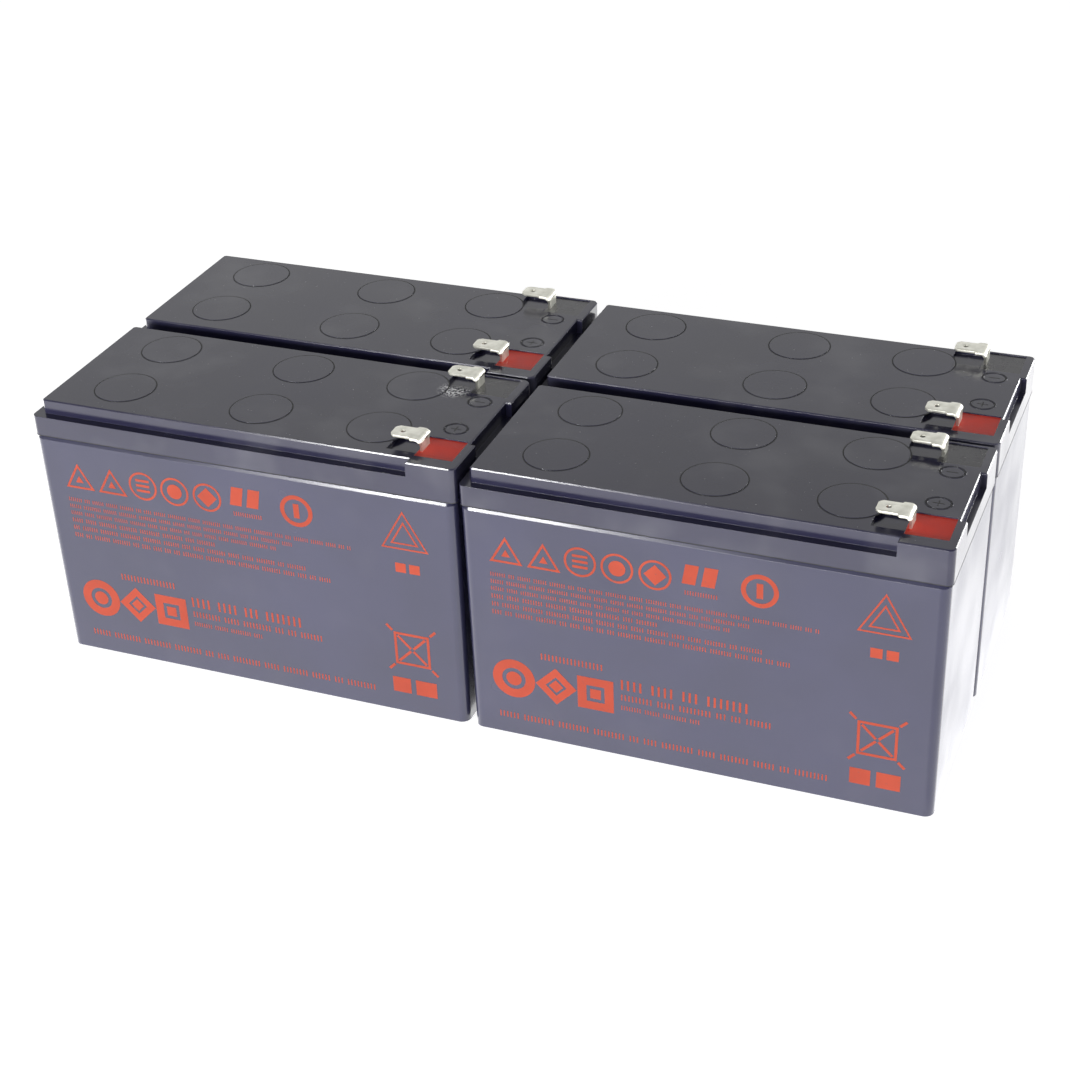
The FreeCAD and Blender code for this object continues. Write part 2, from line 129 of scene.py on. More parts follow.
# A place under one tab where the lid is scraped, and how far the scrape reaches.
SCUFF = ((-21.5, -14.5, 94.0), 6.5)

# Tabs: the strip, the blade with its tip and hole, the shoulders, and the neck where the strip turns narrow.
TAB_THICK = 0.8
TAB_ROUNDING = 0.10
BLADE_WIDTH = 6.35
LEG_WIDTH = 5.6
TIP_BEVEL = 1.3
HOLE_FROM_TIP = 3.4
HOLE_RADIUS = 0.85
HOLE_SIDES = 24
SHOULDER_LENGTH = 3.9
SHOULDER_EASE = 0.35
SHOULDER_STEP = 0.25
NECK_BEFORE = 0.5
NECK_STEP = 0.3
NECK_AFTER = 0.4
BEND_RADIUS = 1.8
BEND_STEPS = 8

# What the materials share: the samples behind a soft edge, and colours on the plastic parts.
BEVEL_SAMPLES = 4
SMUDGE = (0.13, 0.13, 0.16)
DUST = (0.55, 0.55, 0.58)
WORN_EDGE = (0.30, 0.30, 0.36)
SCRAPED = (0.95, 0.95, 0.97)

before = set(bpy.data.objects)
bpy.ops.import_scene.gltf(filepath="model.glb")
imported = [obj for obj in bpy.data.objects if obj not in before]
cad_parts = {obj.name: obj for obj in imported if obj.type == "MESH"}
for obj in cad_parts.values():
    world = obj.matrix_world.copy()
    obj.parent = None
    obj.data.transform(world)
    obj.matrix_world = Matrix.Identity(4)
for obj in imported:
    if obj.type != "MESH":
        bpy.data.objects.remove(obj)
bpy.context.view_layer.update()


# ---------------------------------------------------------------- materials

class Nodes:
    """A material's node tree with short calls for the few nodes used here."""

    def __init__(self, name):
        self.material = bpy.data.materials.new(name)
        self.material.use_nodes = True
        self.tree = self.material.node_tree
        self.shader = self.tree.nodes["Principled BSDF"]
        self.place = self.add("ShaderNodeTexCoord").outputs["Object"]

    def add(self, kind, **settings):
        node = self.tree.nodes.new(kind)
        for name, value in settings.items():
            setattr(node, name, value)
        return node

    def join(self, output, socket):
        self.tree.links.new(output, socket)

    def noise(self, scale, detail=3.0, stretch=None):
        node = self.add("ShaderNodeTexNoise")
        node.inputs["Scale"].default_value = scale
        node.inputs["Detail"].default_value = detail
        place = self.place
        if stretch:
            mapping = self.add("ShaderNodeMapping")
            mapping.inputs["Scale"].default_value = stretch
            self.join(place, mapping.inputs["Vector"])
            place = mapping.outputs["Vector"]
        self.join(place, node.inputs["Vector"])
        return node.outputs["Fac"]

    def ramp(self, value, low, high, start=0.0, end=1.0):
        """The value's stretch from low to high, turned into one from start to end."""
        node = self.add("ShaderNodeMapRange", interpolation_type="SMOOTHSTEP")
        self.join(value, node.inputs["Value"])
        node.inputs["From Min"].default_value = low
        node.inputs["From Max"].default_value = high
        node.inputs["To Min"].default_value = start
        node.inputs["To Max"].default_value = end
        return node.outputs["Result"]

    def maths(self, operation, one, other):
        node = self.add("ShaderNodeMath", operation=operation)
        for socket, value in zip(node.inputs, (one, other)):
            if isinstance(value, (int, float)):
                socket.default_value = value
            else:
                self.join(value, socket)
        return node.outputs["Value"]

    def blend(self, share, one, other):
        """A colour that goes from one to other with the share."""
        node = self.add("ShaderNodeMix", data_type="RGBA")
        self.join(share, node.inputs["Factor"])
        for socket, colour in ((node.inputs["A"], one), (node.inputs["B"], other)):
            if isinstance(colour, tuple):
                socket.default_value = (*colour, 1.0)
            else:
                self.join(colour, socket)
        return node.outputs["Result"]

    def edges(self, radius):
        """High on edges and corners, from the difference between the bevelled and the plain normal."""
        bevel = self.add("ShaderNodeBevel", samples=BEVEL_SAMPLES)
        bevel.inputs["Radius"].default_value = radius * MM
        plain = self.add("ShaderNodeNewGeometry")
        dot = self.add("ShaderNodeVectorMath", operation="DOT_PRODUCT")
        self.join(bevel.outputs["Normal"], dot.inputs[0])
        self.join(plain.outputs["Normal"], dot.inputs[1])
        return self.ramp(dot.outputs["Value"], 0.98, 0.80)

    def upward(self):
        """One on faces that look up, where dust settles, and nothing on upright ones."""
        apart = self.add("ShaderNodeSeparateXYZ")
        self.join(self.add("ShaderNodeNewGeometry").outputs["Normal"], apart.inputs["Vector"])
        return self.ramp(apart.outputs["Z"], 0.4, 0.9)

    def near(self, place, reach):
        """One at a place, in millimetres, and nothing from the reach on."""
        node = self.add("ShaderNodeVectorMath", operation="DISTANCE")
        self.join(self.place, node.inputs[0])
        node.inputs[1].default_value = [number * MM for number in place]
        return self.ramp(node.outputs["Value"], reach * 0.4 * MM, reach * MM, 1.0, 0.0)

    def bump(self, height, depth, rounding=None):
        node = self.add("ShaderNodeBump")
        node.inputs["Distance"].default_value = depth * MM
        self.join(height, node.inputs["Height"])
        if rounding:
            bevel = self.add("ShaderNodeBevel", samples=BEVEL_SAMPLES)
            bevel.inputs["Radius"].default_value = rounding * MM
            self.join(bevel.outputs["Normal"], node.inputs["Normal"])
        self.join(node.outputs["Normal"], self.shader.inputs["Normal"])

    def set(self, **values):
        """Constants go straight on the shader's sockets, and outputs are joined to them."""
        for name, value in values.items():
            socket = self.shader.inputs[name.replace("_", " ")]
            if isinstance(value, (int, float)):
                socket.default_value = value
            elif isinstance(value, tuple):
                socket.default_value = (*value, 1.0)
            else:
                self.join(value, socket)
        return self.material


def moulded_plastic(name, dark, light, gloss, dusty, scuff=None):
    """Dark moulded plastic: fine grain, faint flow clouds, smudges, dust on top, paler edges and, at one place,
    a scrape."""
    n = Nodes(name)
    clouds = n.ramp(n.noise(24.0, 2.0), 0.2, 0.8)
    rubs = n.ramp(n.noise(45.0, 1.0), 0.30, 0.90)
    smudges = n.ramp(n.noise(38.0, 2.5), 0.48, 0.80)
    dust = n.maths("MULTIPLY", n.ramp(n.noise(1100.0, 1.0), 0.785, 0.805), n.upward())
    worn = n.maths("MULTIPLY", n.edges(0.5), n.ramp(n.noise(160.0, 3.0), 0.45, 0.70))
    colour = n.blend(clouds, dark, light)
    colour = n.blend(n.maths("MULTIPLY", smudges, dusty), colour, SMUDGE)
    colour = n.blend(n.maths("MULTIPLY", dust, dusty), colour, DUST)
    colour = n.blend(n.maths("MULTIPLY", worn, 0.05), colour, WORN_EDGE)
    rough = n.ramp(clouds, 0.0, 1.0, gloss - 0.02, gloss + 0.02)
    rough = n.maths("ADD", rough, n.maths("MULTIPLY", rubs, 0.06))
    if scuff:
        grit = n.ramp(n.noise(1300.0, 3.0), 0.42, 0.58)
        share = n.maths("MULTIPLY", n.near(*scuff), grit)
        colour = n.blend(share, colour, SCRAPED)
        rough = n.maths("ADD", rough, n.maths("MULTIPLY", share, 0.30))
    n.bump(n.noise(2600.0, 2.0), 0.006, rounding=0.20)
    return n.set(Base_Color=colour, Roughness=rough, IOR=1.46)


def poured_resin(name, dark, light, rim, gloss, specular):
    """Satin resin with small pits, and a paler rim of painted highlight where it creeps up the walls."""
    n = Nodes(name)
    clouds = n.ramp(n.noise(160.0, 4.0), 0.3, 0.7)
    pits = n.ramp(n.noise(1500.0, 1.0), 0.68, 0.76)
    # The rim colour on the edges is a painted highlight.
    colour = n.blend(n.maths("MULTIPLY", n.edges(0.6), 0.8), n.blend(clouds, dark, light), rim)
    n.bump(n.maths("SUBTRACT", n.noise(140.0, 2.0), pits), 0.06)
    rough = n.ramp(clouds, 0.0, 1.0, gloss, gloss + 0.1)
    return n.set(Base_Color=colour, Roughness=rough, Specular_IOR_Level=specular)


def tinned_brass():
    """Pale tin plate with fine drawn lines, rubbed spots and brass showing on some edges."""
    n = Nodes("tinned_brass")
    clouds = n.ramp(n.noise(420.0, 4.0), 0.3, 0.7)
    lines = n.noise(1500.0, 3.0, (0.08, 1.0, 1.0))
    brass = n.maths("MULTIPLY", n.edges(0.12), n.ramp(n.noise(900.0, 2.0), 0.45, 0.65))
    colour = n.blend(clouds, (0.69, 0.685, 0.605), (0.83, 0.825, 0.745))
    colour = n.blend(n.maths("MULTIPLY", brass, 0.4), colour, (0.50, 0.38, 0.20))
    n.bump(lines, 0.01, rounding=0.1)
    return n.set(Base_Color=colour, Metallic=0.9, Roughness=n.ramp(lines, 0.3, 0.7, 0.34, 0.50))


def print_ink():
    """Screen-printed orange-red ink, a little uneven."""
    n = Nodes("orange_ink")
    wear = n.ramp(n.noise(700.0, 4.0), 0.62, 0.74)
    clouds = n.ramp(n.noise(60.0, 3.0), 0.3, 0.7)
    colour = n.blend(clouds, (0.43, 0.070, 0.040), (0.50, 0.084, 0.048))
    colour = n.blend(n.maths("MULTIPLY", wear, 0.5), colour, (0.15, 0.09, 0.10))
    n.bump(n.noise(2200.0, 2.0), 0.008)
    return n.set(Base_Color=colour, Roughness=n.ramp(clouds, 0.0, 1.0, 0.42, 0.52), Specular_IOR_Level=0.15)


def cast_lead(name, dark, light, grain):
    """Dull metal or paste with a granular surface."""
    n = Nodes(name)
    clouds = n.ramp(n.noise(180.0, 5.0), 0.3, 0.7)
    n.bump(n.noise(1400.0, 4.0), grain)
    rough = n.ramp(clouds, 0.0, 1.0, 0.5, 0.7)
    return n.set(Base_Color=n.blend(clouds, dark, light), Metallic=0.5, Roughness=rough)


def fibre_mat():
    """White glass fibres that lie across the mat."""
    n = Nodes("glass_fibre")
    fibres = n.noise(1800.0, 5.0, (1.0, 1.0, 0.2))
    n.bump(fibres, 0.05)
    return n.set(Base_Color=n.blend(fibres, (0.70, 0.70, 0.68), (0.90, 0.90, 0.88)), Roughness=0.9)


def soft_rubber():
    """Dull black rubber."""
    n = Nodes("cap_rubber")
    clouds = n.ramp(n.noise(300.0, 3.0), 0.3, 0.7)
    n.bump(n.noise(1800.0, 2.0), 0.02)
    return n.set(Base_Color=n.blend(clouds, (0.015, 0.015, 0.016), (0.03, 0.03, 0.03)), Roughness=0.65)


def seam_shadow():
    """The unlit bottom of a hairline gap."""
    n = Nodes("seam_shadow")
    clouds = n.ramp(n.noise(400.0, 3.0), 0.3, 0.7)
    return n.set(Base_Color=n.blend(clouds, (0.004, 0.004, 0.005), (0.012, 0.012, 0.014)), Roughness=0.7)


JAR = moulded_plastic("jar_plastic", (0.031, 0.031, 0.069), (0.041, 0.041, 0.087), 0.21, 0.10)
LID = moulded_plastic("lid_plastic", (0.019, 0.018, 0.046), (0.027, 0.026, 0.059), 0.17, 0.5, SCUFF)
TIN = tinned_brass()
INK = print_ink()
SHADOW = seam_shadow()
LEAD = cast_lead("cast_lead", (0.16, 0.165, 0.18), (0.26, 0.265, 0.28), 0.05)
# Each resin's third colour is its rim's painted highlight.
RED_RESIN = poured_resin(
    "red_resin", (0.76, 0.032, 0.013), (0.86, 0.046, 0.021), (0.84, 0.20, 0.16), 0.34, 0.2)
BLACK_RESIN = poured_resin(
    "black_resin", (0.020, 0.019, 0.026), (0.034, 0.033, 0.042), (0.06, 0.06, 0.07), 0.2, 0.5)
FINISHES = {
    "container": JAR,
    "lid": LID,
    "positive_seal": RED_RESIN,
    "negative_seal": BLACK_RESIN,
    "positive_terminal": TIN,
    "negative_terminal": TIN,
    "positive_post": LEAD,
    "negative_post": LEAD,
    "cell_links": LEAD,
    "positive_plates": cast_lead("positive_paste", (0.07, 0.03, 0.018), (0.12, 0.055, 0.03), 0.12),
    "negative_plates": cast_lead("negative_paste", (0.20, 0.205, 0.21), (0.30, 0.305, 0.31), 0.12),
    "separators": fibre_mat(),
}


def paint(node, material):
    """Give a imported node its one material."""
    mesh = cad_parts[node].data
    mesh.materials.clear()
    mesh.materials.append(material)


for battery in BATTERIES:
    for piece, material in FINISHES.items():
        paint(f"{battery}_{piece}", material)
paint("vent_covers", LID)
paint("valve_caps", soft_rubber())


# ---------------------------------------------------------------- pieces

def add_piece(name, shape, material, sharp=35.0):
    """Turn a bmesh in millimetres, in the set's frame, into a piece that rides on the part."""
    bmesh.ops.scale(shape, vec=(MM, MM, MM), verts=shape.verts)
    bmesh.ops.recalc_face_normals(shape, faces=shape.faces)
    mesh = bpy.data.meshes.new(name)
    shape.to_mesh(mesh)
    shape.free()
    mesh.materials.append(material)
    mesh.shade_smooth()
    mesh.set_sharp_from_angle(angle=math.radians(sharp))
    piece = bpy.data.objects.new(name, mesh)
    bpy.context.collection.objects.link(piece)
    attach(piece, "root")
    return piece


def box_mm(node):
    """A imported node's two far corners, in millimetres."""
    low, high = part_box(node)
    return Vector(low) / MM, Vector(high) / MM


def between(shape, one, other):
    """Faces between two closed loops of as many vertices. Vertices that the loops share count once."""
    for index in range(len(one)):
        after = (index + 1) % len(one)
        shape.faces.new(list(dict.fromkeys((one[index], one[after], other[after], other[index]))))


def lathe(shape, centre, profile, steps=72, stretch=1.0):
    """Turn (radius, height) points about an upright axis through the centre. A radius of 0 closes the middle, and
    the stretch makes the round an oval along X."""
    rings = []
    for radius, height in profile:
        if radius == 0.0:
            rings.append([shape.verts.new((centre[0], centre[1], centre[2] + height))] * steps)
            continue
        ring = []
        for step in range(steps):
            turn = math.tau * step / steps
            x = centre[0] + radius * stretch * math.cos(turn)
            ring.append(shape.verts.new((x, centre[1] + radius * math.sin(turn), centre[2] + height)))
        rings.append(ring)
    for inner, outer in zip(rings, rings[1:]):
        between(shape, inner, outer)


def vent_places(battery):
    """Middles of a battery's six vents on top of its lid."""
    low, high = box_mm(f"{battery}_lid")
    top = box_mm("vent_covers")[0].z
    well_left = box_mm(f"{battery}_positive_seal")[0].x
    middle_y = (low.y + high.y) / 2 + VENTS_BEHIND
    for x in (low.x + VENT_FIRST, (low.x + high.x) / 2, well_left - VENT_LAST):
        for way in (-1, 1):
            yield x, middle_y + way * VENT_ROWS / 2, top


def make_vent_covers():
    """Flat round covers, each in a hairline seam whose dark ring is painted shadow."""
    radius = COVER_RADIUS - SEAM_WIDE
    cover = (
        (0.0, COVER_RISE), (radius - COVER_EDGE, COVER_RISE),
        (radius - COVER_EDGE * 0.3, COVER_RISE - COVER_EDGE * 0.2), (radius, COVER_RISE - COVER_EDGE * 0.7),
        (radius, 0.0), (0.0, 0.0),
    )
    seam = (
        (radius, SEAM_RISE), (COVER_RADIUS, SEAM_RISE), (COVER_RADIUS, 0.0), (radius, 0.0), (radius, SEAM_RISE),
    )
    covers = bmesh.new()
    seam_shadows = bmesh.new()
    for battery in BATTERIES:
        for place in vent_places(battery):
            lathe(covers, place, cover)
            lathe(seam_shadows, place, seam)
    covers = add_piece("vent_cover_discs", covers, LID, sharp=12.0)
    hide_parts("vent_covers")
    # The seam ring is painted shadow: a dark ring where the gap round each cover is in shade.
    add_piece("vent_cover_seam_shadows", seam_shadows, SHADOW)


def lid_outline(low, high, out, steps=6):
    """Points round a lid's lower edge, with its round corners, moved outwards a little."""
    points = []
    reach = LID_CORNER + out
    left, right = low.x + LID_CORNER, high.x - LID_CORNER
    front, back = low.y + LID_CORNER, high.y - LID_CORNER
    for quarter, (x, y) in enumerate(((right, back), (left, back), (left, front), (right, front))):
        for step in range(steps + 1):
            turn = (quarter + step / steps) * math.pi / 2
            points.append((x + reach * math.cos(turn), y + reach * math.sin(turn)))
    return points


def make_joint_shadow_lines():
    """A dark hairline of painted shadow round the lower edge of each lid, where it stands over the jar."""
    lines = bmesh.new()
    profile = ((-JOINT_OUT, 0.0), (JOINT_OUT, 0.0), (JOINT_OUT, JOINT_UP * JOINT_SLOPE), (-JOINT_OUT, JOINT_UP))
    for battery in BATTERIES:
        low, high = box_mm(f"{battery}_lid")
        rings = []
        for out, up in profile:
            rings.append([lines.verts.new((x, y, low.z + up)) for x, y in lid_outline(low, high, out)])
        for ring, after in zip(rings, rings[1:] + rings[:1]):
            between(lines, ring, after)
    # Painted shadow: a dark strip where the lid's lower edge throws shade over the jar.
    add_piece("lid_joint_shadow_lines", lines, SHADOW)


def bar(shape, x, y, z, half_x, half_y, rise):
    """A low block with its foot on the lid."""
    levels = []
    for height, inset in ((0.0, 0.0), (rise, rise * BAR_SLOPE)):
        out_x, out_y = half_x - inset, half_y - inset
        corners = ((x - out_x, y - out_y), (x + out_x, y - out_y), (x + out_x, y + out_y), (x - out_x, y + out_y))
        levels.append([shape.verts.new((*corner, z + height)) for corner in corners])
    lower, upper = levels
    shape.faces.new(upper)
    shape.faces.new(lower[::-1])
    between(shape, lower, upper)


def make_polarity_marks():
    """An oval line beside each well, between two low lips, with a plus or a minus in it; the line and the signs
    are painted shadow.
    """
    lines = bmesh.new()
    lips = bmesh.new()
    half = MARK_LINE / 2
    for battery in BATTERIES:
        low, high = box_mm(f"{battery}_lid")
        middle = (low + high) / 2
        for across, is_plus in ((MARK_PLUS_Y, True), (MARK_MINUS_Y, False)):
            place = (middle.x + MARK_X, middle.y + across, high.z)
            inner, outer = MARK_RADIUS - half, MARK_RADIUS + half
            rise = MARK_RISE / 2
            line = ((inner, 0.0), (inner, rise), (outer, rise), (outer, 0.0), (inner, 0.0))
            lathe(lines, place, line, MARK_SIDES, MARK_STRETCH)
            for start, finish in ((inner - MARK_LIP, inner), (outer, outer + MARK_LIP)):
                lip = ((start, 0.0), ((start + finish) / 2, MARK_RISE), (finish, 0.0), (start, 0.0))
                lathe(lips, place, lip, MARK_SIDES, MARK_STRETCH)
            bar(lines, *place, MARK_BAR * MARK_STRETCH, half, rise)
            if is_plus:
                # A little lower, so that the two tops never lie in one plane.
                bar(lines, *place, half, MARK_BAR, rise * 0.9)
    # The lines and signs are painted shadow, a dark strip where the engraved mark is in shade.
    add_piece("polarity_shadow_lines", lines, SHADOW)
    add_piece("polarity_lips", lips, LID)


def make_tab(name):
    """A tab of rolled strip: drawn flat with its hole, bent, thickened and rounded at the edges."""
    low, high = box_mm(name)
    middle = (low.y + high.y) / 2
    radius = BEND_RADIUS - TAB_THICK / 2
    flat = high.x - BEND_RADIUS - low.x
    curve = radius * math.pi / 2
    leg = high.z - BEND_RADIUS - low.z
    shoulder = flat + BEND_RADIUS - SHOULDER_LENGTH
    blade = BLADE_WIDTH / 2
    wide = (high.y - low.y) / 2
    slim = LEG_WIDTH / 2
    neck = flat + curve
    side = [
        (0.0, blade - TIP_BEVEL), (TIP_BEVEL * 0.3, blade - TIP_BEVEL * 0.55), (TIP_BEVEL, blade),
        (shoulder - SHOULDER_EASE, blade), (shoulder, blade + SHOULDER_STEP), (shoulder + SHOULDER_STEP, wide),
        (neck - NECK_BEFORE, wide), (neck, slim + NECK_STEP), (neck + NECK_AFTER, slim), (neck + leg, slim),
    ]
    strip = bmesh.new()
    rim = [strip.verts.new((u, v, 0.0)) for u, v in side] + [strip.verts.new((u, -v, 0.0)) for u, v in side[::-1]]
    hole = []
    for step in range(HOLE_SIDES):
        turn = math.tau * step / HOLE_SIDES
        u, v = HOLE_FROM_TIP + HOLE_RADIUS * math.cos(turn), HOLE_RADIUS * math.sin(turn)
        hole.append(strip.verts.new((u, v, 0.0)))
    edges = []
    for loop in (rim, hole):
        for one, other in zip(loop, loop[1:] + loop[:1]):
            edges.append(strip.edges.new((one, other)))
    bmesh.ops.triangle_fill(strip, use_beauty=True, use_dissolve=False, edges=edges)
    for step in range(BEND_STEPS + 1):
        cut = (flat + curve * step / BEND_STEPS, 0.0, 0.0)
        everything = strip.verts[:] + strip.edges[:] + strip.faces[:]
        bmesh.ops.bisect_plane(strip, geom=everything, plane_co=cut, plane_no=(1.0, 0.0, 0.0))
    for vertex in strip.verts:
        u, v = vertex.co.xy
        turn = min(max((u - flat) / radius, 0.0), math.pi / 2)
        along = min(u, flat) + radius * math.sin(turn)
        down = radius * (1.0 - math.cos(turn)) + max(u - neck, 0.0)
        vertex.co = (low.x + along, middle + v, high.z - TAB_THICK / 2 - down)
    tab = add_piece(f"{name}_strip", strip, TIN, sharp=50.0)
    thick = tab.modifiers.new("thickness", "SOLIDIFY")
    thick.thickness = TAB_THICK * MM
    thick.offset = 0.0
    thick.use_even_offset = True
    rounding = tab.modifiers.new("rounding", "BEVEL")
    rounding.width = TAB_ROUNDING * MM
    rounding.segments = 2
    rounding.limit_method = "ANGLE"
    rounding.angle_limit = math.radians(50.0)
    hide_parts(name)


# ---------------------------------------------------------------- print

class Sheet:
    """Thin shapes on a jar's front plane: x from the jar's left end and z up from its base."""

    def __init__(self):
        self.shape = bmesh.new()

    def levels(self, outline):
        """An outline's vertices on the jar, and the same outline on top of the ink."""
        return [[self.shape.verts.new((x, y, z)) for x, z in outline] for y in (0.0, -PRINT_THICK)]

    def face(self, outline):
        """What lies within one outline."""
        foot, top = self.levels(outline)
        self.shape.faces.new(foot)
        self.shape.faces.new(top)
        between(self.shape, foot, top)

    def band(self, outer, inner):
        """What lies between two outlines that have as many points."""
        outer_foot, outer_top = self.levels(outer)
        inner_foot, inner_top = self.levels(inner)
        between(self.shape, outer_foot, inner_foot)
        between(self.shape, outer_top, inner_top)
        between(self.shape, outer_foot, outer_top)
        between(self.shape, inner_foot, inner_top)

    def block(self, left, right, low, high, lean=0.0):
        self.face(((left, low), (right, low), (right + lean, high), (left + lean, high)))

    def polygon(self, x, z, radius, sides, turned=0.0):
        """The corners of a regular outline, the first one turned up from the right by so many degrees."""
        corners = []
        for step in range(sides):
            turn = math.radians(turned) + math.tau * step / sides
            corners.append((x + radius * math.cos(turn), z + radius * math.sin(turn)))
        return corners

    def disc(self, x, z, radius):
        self.face(self.polygon(x, z, radius, DISC_SIDES))

    def ring(self, x, z, radius, line, sides=RING_SIDES, turned=0.0):
        """A round or, with few sides, a cornered band. The line is measured towards the corners."""
        self.band(self.polygon(x, z, radius, sides, turned), self.polygon(x, z, radius - line, sides, turned))

    def frame(self, left, right, low, high, line):
        """A square-cornered band."""
        corners = []
        for inset in (0.0, line):
            near, far, under, over = left + inset, right - inset, low + inset, high - inset
            corners.append(((near, under), (far, under), (far, over), (near, over)))
        self.band(*corners)

    def stroke(self, start, finish, line):
        """A straight stroke of one width."""
        (x, z), (far_x, far_z) = start, finish
        away = Vector((far_z - z, x - far_x)).normalized() * line / 2
        self.face((
            (x + away.x, z + away.y), (x - away.x, z - away.y),
            (far_x - away.x, far_z - away.y), (far_x + away.x, far_z + away.y),
        ))

    def row(self, left, right, low, tall, seed, groups=(3, 9)):
        """A row of even ticks in groups, which stands where a line of print would."""
        pick = random.Random(seed)
        tick = tall * TICK_WIDE
        pitch = tall * TICK_PITCH
        x = left
        while x < right:
            count = pick.randint(*groups)
            for step in range(count):
                start = x + pitch * step
                if start + tick <= right:
                    self.block(start, start + tick, low, low + tall)
            x += pitch * (count + 1)


def draw_icons(sheet):
    """A row of badges along the top: two triangles, three thin rings, a bold pair and a bold ring."""
    z = 67.6
    for x in (14.6, 27.0):
        sheet.ring(x, z, 6.3, 1.5, sides=3, turned=90.0)
        sheet.face(sheet.polygon(x, z, 1.7, 3, 90.0))
    barred, dotted, diamond, z = 38.9, 50.7, 62.7, 69.5
    for x in (barred, dotted, diamond):
        sheet.ring(x, z, 5.2, 0.75)
    for step in (-1, 0, 1):
        low = z - 0.3 + step * 1.9
        sheet.block(barred - 2.5, barred + 2.5, low, low + 0.9)
    sheet.disc(dotted, z, 2.7)
    sheet.face(sheet.polygon(diamond, z, 3.6, 4))
    for left in (71.0, 77.0):
        sheet.block(left, left + 4.2, 68.4, 75.2, lean=1.2)
    sheet.row(72.0, 82.6, 64.6, 1.5, seed=1, groups=CAPTION)
    x, z = 95.0, 70.2
    sheet.ring(x, z, 5.75, 1.5)
    sheet.block(x - 1.0, x + 1.0, z - 2.6, z + 2.6)


def draw_lines(sheet):
    """Six fine rows in three blocks, from one left edge."""
    for seed, (right, low, tall) in enumerate((
        (113.7, 59.1, 1.4), (92.0, 56.5, 1.4), (86.0, 53.9, 1.4),
        (64.0, 51.0, 1.6), (97.0, 48.1, 1.6), (105.0, 45.2, 1.6),
    ), start=10):
        sheet.row(9.2, right, low, tall, seed)


def draw_main_mark(sheet):
    """A bold disc, diamond and square, each in a band, with a caption over them and rows beside and below."""
    disc, diamond, square, z = 15.2, 29.5, 42.7, 21.6
    sheet.ring(disc, z, 7.2, 3.2)
    sheet.disc(disc, z, 2.6)
    sheet.ring(diamond, z, 6.9, 3.4, sides=4)
    sheet.face(sheet.polygon(diamond, z, 2.4, 4))
    sheet.frame(square - 6.0, square + 6.0, z - 6.0, z + 6.0, 3.0)
    sheet.block(square - 1.8, square + 1.8, z - 1.8, z + 1.8)
    sheet.row(24.8, 46.3, 31.0, 2.3, seed=21, groups=CAPTION)
    beside = 51.2
    sheet.row(beside, 95.0, 25.3, 3.7, seed=22, groups=(3, 7))
    sheet.row(beside, 101.5, 21.3, 2.2, seed=23)
    sheet.row(beside, 77.0, 17.7, 1.6, seed=24)
    sheet.row(9.8, 118.9, 6.0, 2.2, seed=25)


def draw_end_figures(sheet):
    """Two triangles, one in the other, over a framed cross, each with a pair of blocks under it."""
    for radius in (9.4, 5.6):
        sheet.ring(132.2, 67.4, radius, 1.1, sides=3, turned=90.0)
    for left in (128.4, 133.2):
        sheet.block(left, left + 3.6, 54.2, 57.6)
    middle = Vector((131.9, 24.8))
    half = 6.2
    line = 0.9
    sheet.frame(middle.x - half, middle.x + half, middle.y - half, middle.y + half, line)
    for way in ((1, 1), (1, -1), (-1, 1), (-1, -1)):
        along = Vector(way).normalized()
        for start, finish in ((0.6, 6.8), (9.3, 12.2)):
            sheet.stroke(middle + along * start, middle + along * finish, line)
    for left, right in ((124.0, 130.4), (132.2, 139.6)):
        sheet.block(left, right, 7.4, 13.2)


def make_print(battery):
    """Everything printed on one jar's front, laid on the face that leans in towards the base."""
    low, high = box_mm(f"{battery}_container")
    sheet = Sheet()
    draw_icons(sheet)
    draw_lines(sheet)
    draw_main_mark(sheet)
    draw_end_figures(sheet)
    for vertex in sheet.shape.verts:
        x, y, z = vertex.co
        lean = JAR_DRAFT * (1.0 - z / (high.z - low.z))
        vertex.co = (low.x + x, low.y + lean + y, low.z + z)
    add_piece(f"{battery}_front_print", sheet.shape, INK, sharp=20.0)


make_vent_covers()
make_polarity_marks()
make_joint_shadow_lines()
for battery in BATTERIES:
    for pole in ("positive", "negative"):
        make_tab(f"{battery}_{pole}_terminal")
    make_print(battery)


# ---------------------------------------------------------------- stage

def make_lamps():
    """Soft panels that no camera sees."""
    for name, (at, size, watts, glints_only) in LAMPS.items():
        light = bpy.data.lights.new(name, "AREA")
        light.shape = "RECTANGLE"
        light.size, light.size_y = size
        light.energy = watts
        lamp = bpy.data.objects.new(name, light)
        lamp.location = at
        lamp.rotation_euler = (Vector(LAMP_AIM) - Vector(at)).to_track_quat("-Z", "Y").to_euler()
        lamp.visible_camera = False
        lamp.visible_diffuse = not glints_only
        bpy.context.collection.objects.link(lamp)


def seen(tree, kinds):
    """One for rays of these kinds and nothing for the rest."""
    path = tree.nodes.new("ShaderNodeLightPath")
    total = path.outputs[kinds[0]]
    for kind in kinds[1:]:
        node = tree.nodes.new("ShaderNodeMath")
        node.operation = "MAXIMUM"
        tree.links.new(total, node.inputs[0])
        tree.links.new(path.outputs[kind], node.inputs[1])
        total = node.outputs["Value"]
    return total


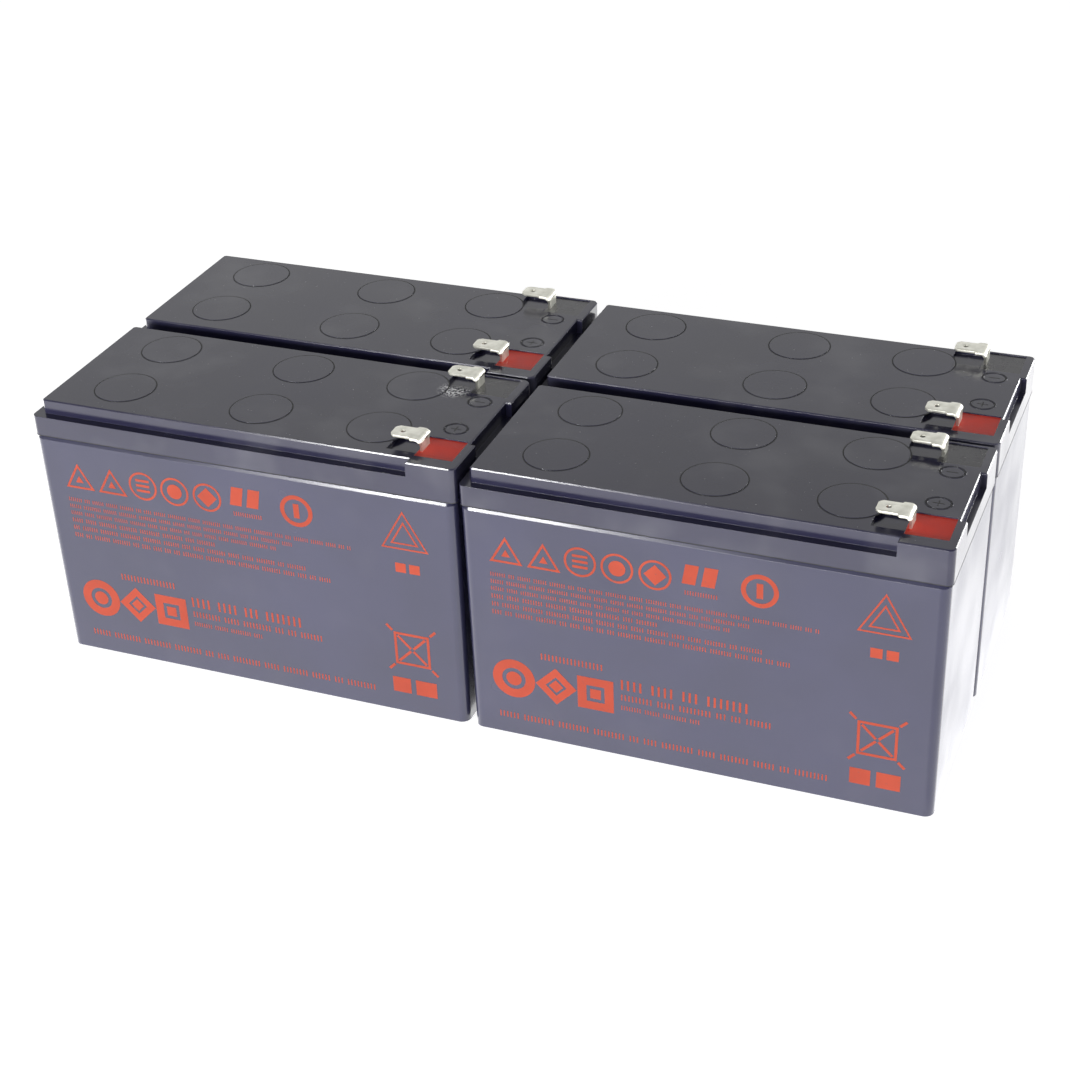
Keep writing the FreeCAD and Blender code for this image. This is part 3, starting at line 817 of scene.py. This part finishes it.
def make_floor():
    """A pale floor that the camera sees as white, with a faint shadow of the object, and that glows in gloss."""
    low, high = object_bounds()
    mesh = bpy.data.meshes.new("floor")
    height = low[2] - FLOOR_BELOW
    corners = [(x * FLOOR_REACH, y * FLOOR_REACH, height) for x, y in ((-1, -1), (1, -1), (1, 1), (-1, 1))]
    mesh.from_pydata(corners, [], [(0, 1, 2, 3)])
    floor = bpy.data.objects.new("floor", mesh)
    bpy.context.collection.objects.link(floor)
    n = Nodes("pale_floor")
    pale = n.blend(n.noise(3.0, 2.0), (0.90, 0.90, 0.90), (0.94, 0.94, 0.94))
    camera = seen(n.tree, ["Is Camera Ray"])
    apart = n.add("ShaderNodeSeparateXYZ")
    n.join(n.place, apart.inputs["Vector"])
    right = n.ramp(apart.outputs["X"], high[0] - TABLE_EDGE, high[0] + TABLE_EDGE, TABLE_GLOW, TABLE_GLOW_RIGHT)
    behind = n.ramp(apart.outputs["Y"], TABLE_FADE_FROM, high[1] + TABLE_FADE_PAST, 1.0, TABLE_FADE_BEHIND)
    mirrored = seen(n.tree, ["Is Glossy Ray", "Is Transmission Ray"])
    mirrored = n.maths("MULTIPLY", mirrored, n.maths("MULTIPLY", right, behind))
    glow = n.maths("ADD", n.maths("MULTIPLY", camera, FLOOR_GLOW), mirrored)
    shaded = n.blend(camera, pale, (FLOOR_SHADE,) * 3)
    n.set(Base_Color=shaded, Roughness=0.9, Specular_IOR_Level=0.0)
    n.set(Emission_Color=(1.0, 1.0, 1.0), Emission_Strength=glow)
    mesh.materials.append(n.material)


def make_world():
    """White for the camera and in reflections, dimmer overhead, and a low fill for everything else."""
    world = bpy.data.worlds.new("studio")
    bpy.context.scene.world = world
    world.use_nodes = True
    tree = world.node_tree
    background = tree.nodes["Background"]
    background.inputs["Color"].default_value = (1.0, 1.0, 1.0, 1.0)
    level = tree.nodes.new("ShaderNodeMapRange")
    level.inputs["To Min"].default_value = WORLD_FILL
    level.inputs["To Max"].default_value = 1.0
    tree.links.new(seen(tree, ["Is Camera Ray", "Is Glossy Ray", "Is Transmission Ray"]), level.inputs["Value"])
    place = tree.nodes.new("ShaderNodeTexCoord")
    apart = tree.nodes.new("ShaderNodeSeparateXYZ")
    tree.links.new(place.outputs["Generated"], apart.inputs["Vector"])
    overhead = tree.nodes.new("ShaderNodeMapRange")
    overhead.inputs["From Min"].default_value = OVERHEAD_FROM
    overhead.inputs["From Max"].default_value = OVERHEAD_TO
    overhead.inputs["To Min"].default_value = 1.0
    overhead.inputs["To Max"].default_value = WORLD_OVERHEAD
    tree.links.new(apart.outputs["Z"], overhead.inputs["Value"])
    product = tree.nodes.new("ShaderNodeMath")
    product.operation = "MULTIPLY"
    tree.links.new(level.outputs["Result"], product.inputs[0])
    tree.links.new(overhead.outputs["Result"], product.inputs[1])
    tree.links.new(product.outputs["Value"], background.inputs["Strength"])


def make_camera():
    """A camera that leans a little to one side."""
    at = Vector(CAMERA_AT) * MM
    ahead = (Vector(CAMERA_AIM) * MM - at).normalized()
    level = ahead.cross(Vector((0.0, 0.0, 1.0))).normalized()
    upward = level.cross(ahead)
    roll = math.radians(CAMERA_ROLL)
    right = level * math.cos(roll) + upward * math.sin(roll)
    upward = right.cross(ahead)
    camera = bpy.data.objects.new("camera", bpy.data.cameras.new("camera"))
    camera.data.lens = CAMERA_LENS
    camera.data.sensor_width = CAMERA_SENSOR
    turn = Matrix((right, upward, -ahead)).transposed()
    camera.matrix_world = Matrix.Translation(at) @ turn.to_4x4()
    bpy.context.collection.objects.link(camera)
    bpy.context.scene.camera = camera


make_floor()
make_world()
make_lamps()
make_camera()
scene = bpy.context.scene
scene.view_settings.view_transform = "Standard"
